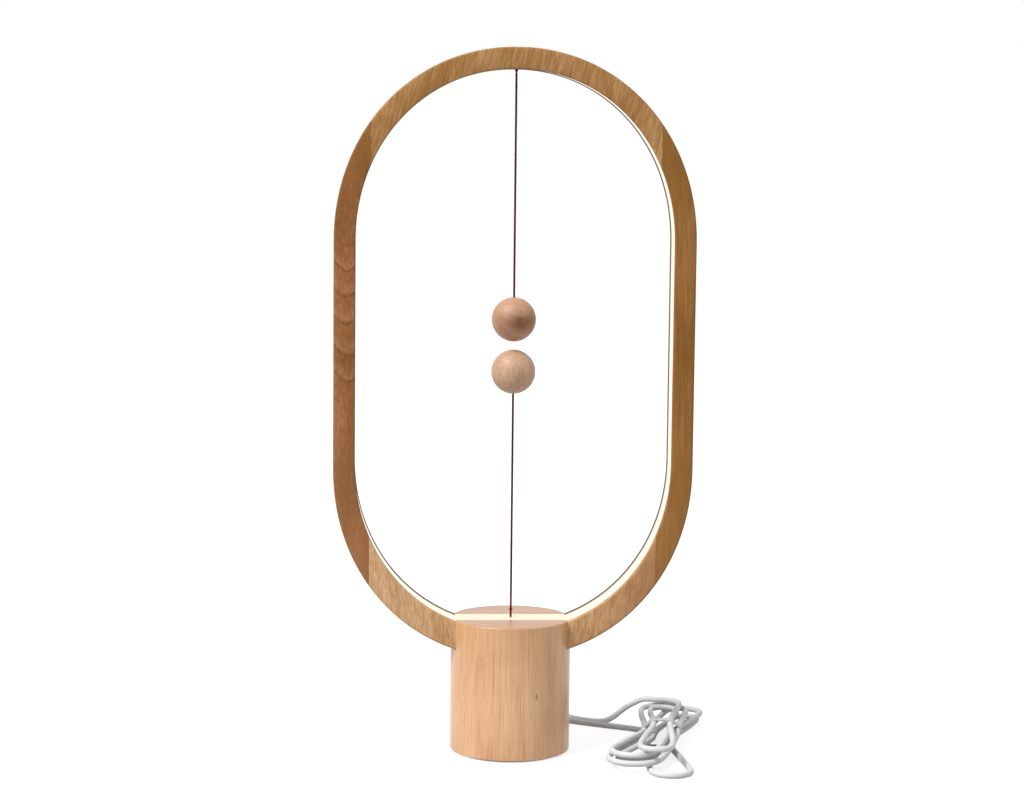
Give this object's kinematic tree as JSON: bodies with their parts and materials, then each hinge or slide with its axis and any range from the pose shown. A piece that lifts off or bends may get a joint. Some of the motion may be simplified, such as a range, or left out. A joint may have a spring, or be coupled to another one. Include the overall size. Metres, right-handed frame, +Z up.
{
  "type": "table lamp with magnetic ball switch",
  "caption": "Oval wooden loop lamp on a round base, lit along its inner edge, switched on by lifting a ball on a cord until a magnet in the hanging ball holds it up.",
  "frame": {"origin": "centre of the foot pad's underside, on the table", "axes": "+Z up; X left to right across the loop, as seen from the front; the loop lies in the XZ plane and the supply cord leaves the base towards +Y"},
  "size_m": [0.2186, 0.1614, 0.394],
  "materials": {
    "wood_arch": "satin, hand-oiled, brown",
    "wood_left": "satin, reddish brown",
    "wood_dark": "satin, ochre brown",
    "wood_arm": "satin, pale tan",
    "wood_base": "satin, peach beech",
    "wood_pale": "satin, light beech",
    "diffuser": "opal, lit warm white",
    "circuit_board": "smooth",
    "light_chip": "glossy, lit",
    "wire_red": "smooth sheath",
    "black_plastic": "smooth",
    "foot_rubber": "matt",
    "cover_plastic": "fine matt",
    "steel": "plated",
    "magnet_plating": "bright plating",
    "white_plastic": "smooth",
    "contact_brass": "bright",
    "ball_cord": "tightly braided, dark red",
    "cord_grey": "matt sheath",
    "tie_grey": "matt"
  },
  "bodies": {
    "stand": {"frame_top": "wood_arch", "frame_left": "wood_left", "frame_right": "wood_dark", "arm_left": "wood_arm", "arm_right": "wood_arm", "board_dowels": "wood_pale", "arm_dowels": "wood_pale", "diffuser_loop": "diffuser", "diffuser_base": "diffuser", "led_strip_loop": "circuit_board", "leds_loop": "light_chip", "led_strip_base": "circuit_board", "leds_base": "light_chip", "led_wires": "wire_red", "base_body": "wood_base", "foot_pad": "foot_rubber", "bottom_cover": "cover_plastic", "cover_screws": "steel", "ballast": "steel", "ballast_screw": "steel", "driver_board": "circuit_board", "driver_parts": "black_plastic", "board_screws": "steel", "switch_housing": "white_plastic", "switch_cap": "white_plastic", "switch_contacts": "contact_brass", "switch_screws": "steel", "switch_spring": "steel", "switch_wires": "black_plastic", "lower_cord_bush": "white_plastic", "upper_cord_peg": "white_plastic", "cord_gland": "cord_grey", "gland_ring": "cord_grey", "cord_tail": "cord_grey", "cord_lead": "cord_grey", "cord_hank": "cord_grey", "cord_tie": "tie_grey", "cord_end": "cord_grey", "usb_plug": "cord_grey", "usb_shell": "steel"},
    "switch_plunger": {"switch_plunger": "white_plastic", "contact_bridge": "contact_brass", "pull_cord": "ball_cord"},
    "lower_yoke": {"lower_cord_knot": "ball_cord"},
    "lower_pendulum": {"lower_cord": "ball_cord", "lower_ball": "wood_pale", "lower_magnet": "magnet_plating", "lower_ball_plug": "wood_pale"},
    "upper_yoke": {"upper_cord_knot": "ball_cord"},
    "upper_pendulum": {"upper_cord": "ball_cord", "upper_ball": "wood_dark", "upper_magnet": "magnet_plating", "upper_ball_plug": "wood_dark"}
  },
  "joints": [
    {"name": "plunger_slide", "type": "slide", "parent": "stand", "child": "switch_plunger", "axis": [0, 0, 1], "range_m": [-0.003, 0], "stiffness_N_per_m": 200, "springref_m": 0.003, "deforming": ["switch_spring"]},
    {"name": "lower_swing_side", "type": "hinge", "parent": "switch_plunger", "child": "lower_yoke", "pos_m": [0, 0, 0.0803], "axis": [0, 1, 0], "range_deg": [-30, 30], "stiffness_Nm_per_rad": 0.05},
    {"name": "lower_swing_front", "type": "hinge", "parent": "lower_yoke", "child": "lower_pendulum", "pos_m": [0, 0, 0.0803], "axis": [1, 0, 0], "range_deg": [-85, 85], "stiffness_Nm_per_rad": 0.05},
    {"name": "upper_swing_side", "type": "hinge", "parent": "stand", "child": "upper_yoke", "pos_m": [0, 0, 0.3813], "axis": [0, 1, 0], "range_deg": [-30, 30]},
    {"name": "upper_swing_front", "type": "hinge", "parent": "upper_yoke", "child": "upper_pendulum", "pos_m": [0, 0, 0.3813], "axis": [1, 0, 0], "range_deg": [-60, 60]}
  ]
}
